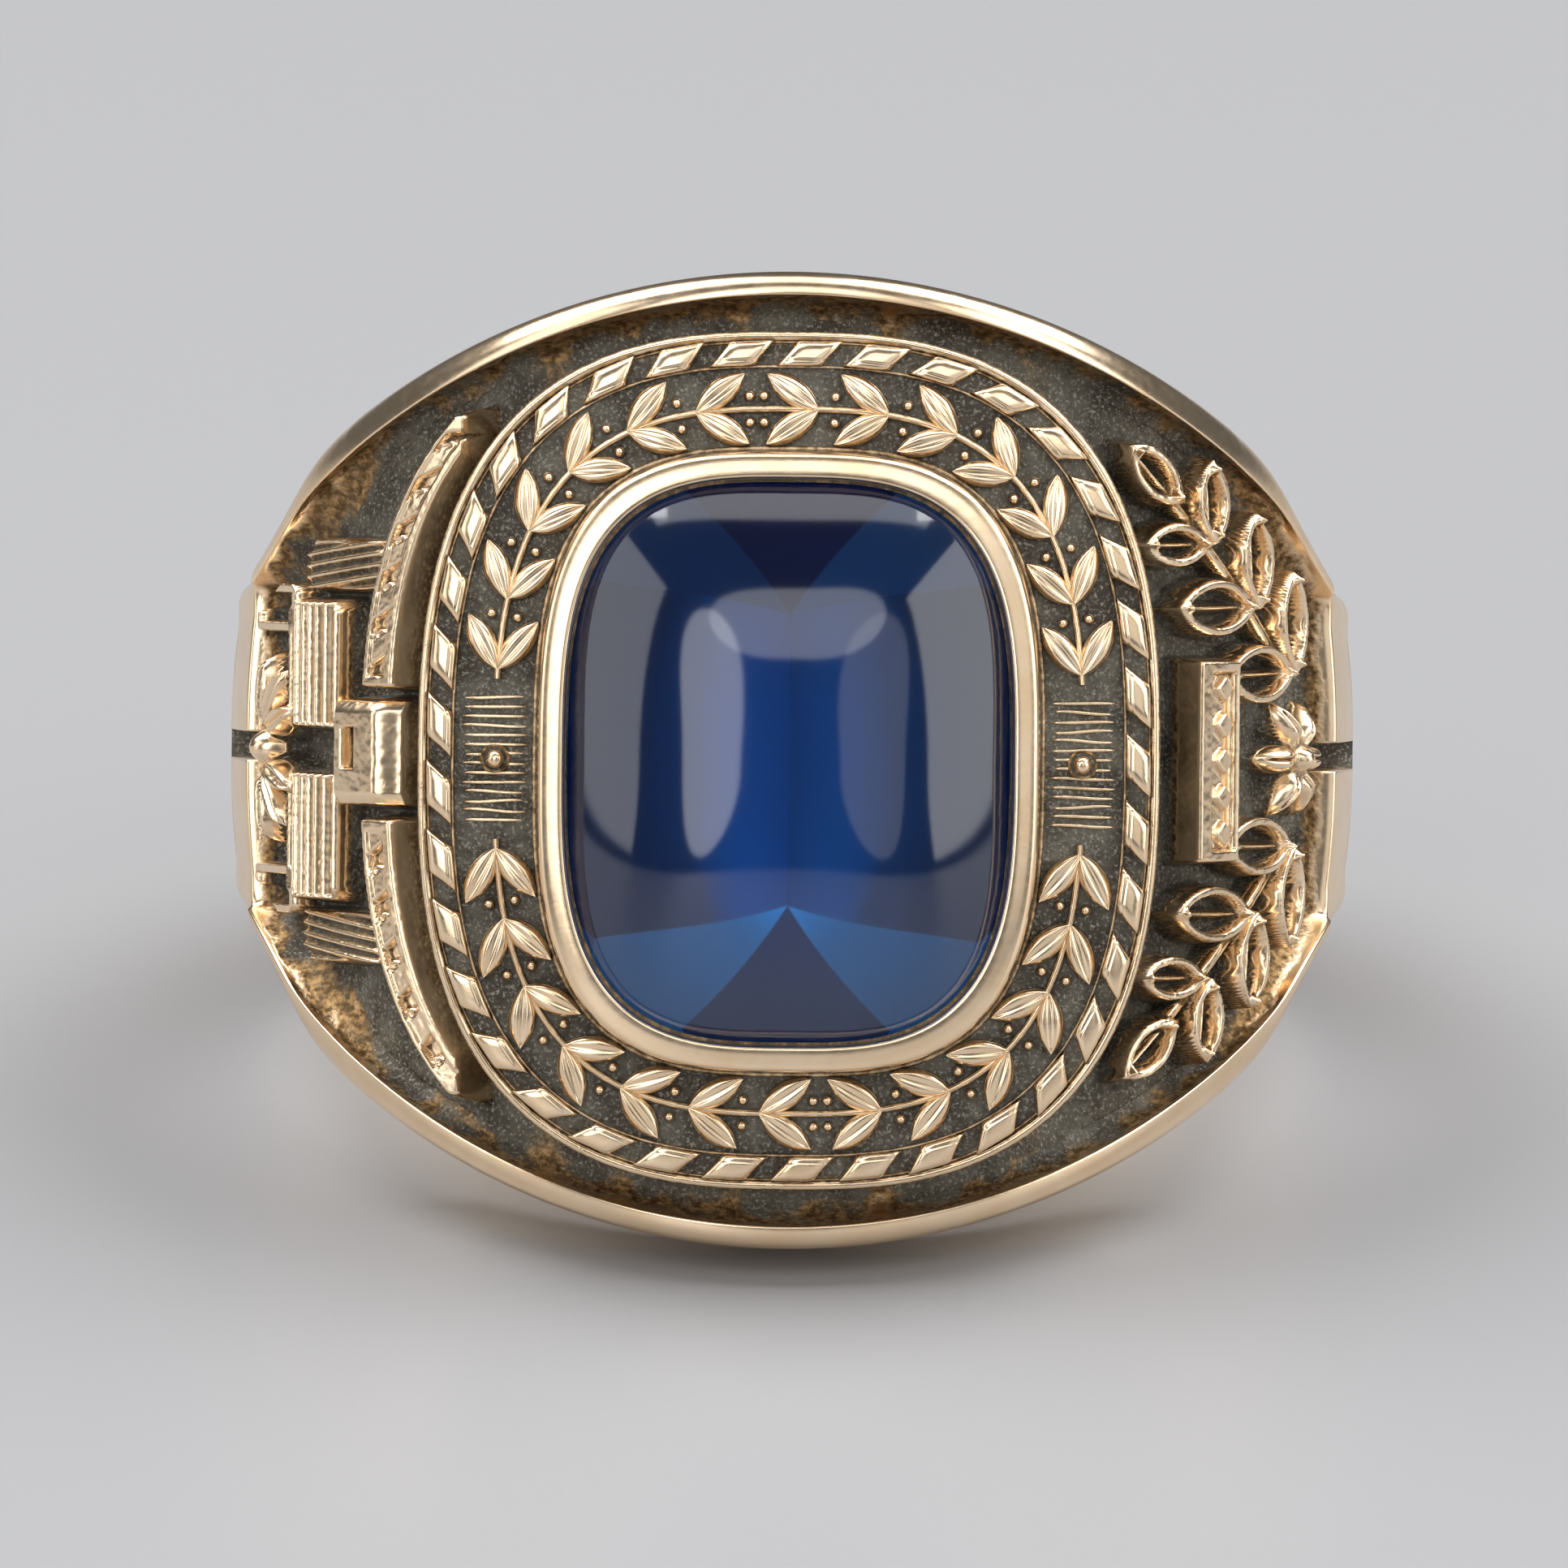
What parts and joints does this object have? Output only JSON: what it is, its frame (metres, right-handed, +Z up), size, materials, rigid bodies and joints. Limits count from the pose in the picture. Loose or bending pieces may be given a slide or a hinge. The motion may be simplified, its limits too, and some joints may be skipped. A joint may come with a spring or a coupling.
{
  "type": "class ring with a domed cushion stone",
  "caption": "Cast class ring lying on its side: domed blue cushion stone in a plain bezel, laurel band, rope border and carved shoulders.",
  "frame": {"origin": "centre of the ring's outline, on the surface that it lies on", "axes": "+Z up; the head with the stone faces -Y and leans back by 18.7 degrees; +X to the right of the head; the finger hole's axis lies in the YZ plane"},
  "size_m": [0.0248, 0.0278, 0.0206],
  "materials": {
    "gold": "cast yellow gold alloy, polished on its high spots and darkened in its recesses",
    "blue_stone": "polished transparent deep blue"
  },
  "bodies": {
    "root": {"ring_body": "gold", "stone": "blue_stone"}
  },
  "joints": []
}
